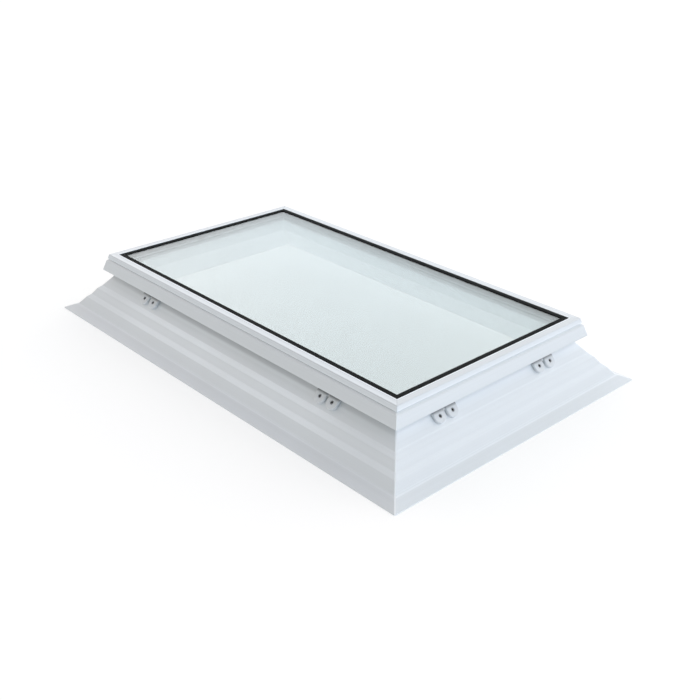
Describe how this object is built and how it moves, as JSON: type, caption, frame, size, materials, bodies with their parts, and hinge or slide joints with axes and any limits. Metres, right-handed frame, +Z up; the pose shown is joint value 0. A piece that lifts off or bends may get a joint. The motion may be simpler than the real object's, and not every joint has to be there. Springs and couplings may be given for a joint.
{
  "type": "fixed flat-roof skylight",
  "caption": "Flat-roof skylight: a double-glazed pane in a white plastic frame on a sloping hollow upstand, held down by screwed clips.",
  "frame": {"origin": "middle of the flat face that lies on the roof", "axes": "+X along the long side, +Y along the short side, +Z up, out of the roof"},
  "size_m": [1.608, 1.008, 0.2],
  "materials": {
    "upstand_plastic": "white extruded PVC, satin",
    "frame_plastic": "white extruded PVC, half gloss",
    "cap_plastic": "white extruded PVC, half gloss",
    "outer_glass": "clear toughened float glass",
    "inner_glass": "clear laminated glass",
    "spacer_metal": "plain folded strip",
    "edge_sealant": "matte black sealant",
    "black_rubber": "matte black EPDM",
    "grey_foam": "matte closed-cell foam",
    "block_plastic": "moulded",
    "clip_plastic": "moulded pale grey nylon",
    "screw_steel": "zinc plated"
  },
  "bodies": {
    "root": {"upstand_front": "upstand_plastic", "upstand_right": "upstand_plastic", "upstand_back": "upstand_plastic", "upstand_left": "upstand_plastic", "frame_front": "frame_plastic", "frame_right": "frame_plastic", "frame_back": "frame_plastic", "frame_left": "frame_plastic", "cap_front": "cap_plastic", "cap_right": "cap_plastic", "cap_back": "cap_plastic", "cap_left": "cap_plastic", "outer_pane": "outer_glass", "inner_pane": "inner_glass", "spacer": "spacer_metal", "edge_seal": "edge_sealant", "glazing_gasket": "black_rubber", "glazing_tape": "grey_foam", "upstand_seal": "grey_foam", "setting_blocks": "block_plastic", "clip_front_left": "clip_plastic", "clip_front_right": "clip_plastic", "clip_right_front": "clip_plastic", "clip_right_back": "clip_plastic", "clip_back_right": "clip_plastic", "clip_back_left": "clip_plastic", "clip_left_back": "clip_plastic", "clip_left_front": "clip_plastic", "clip_screws": "screw_steel"}
  },
  "joints": []
}
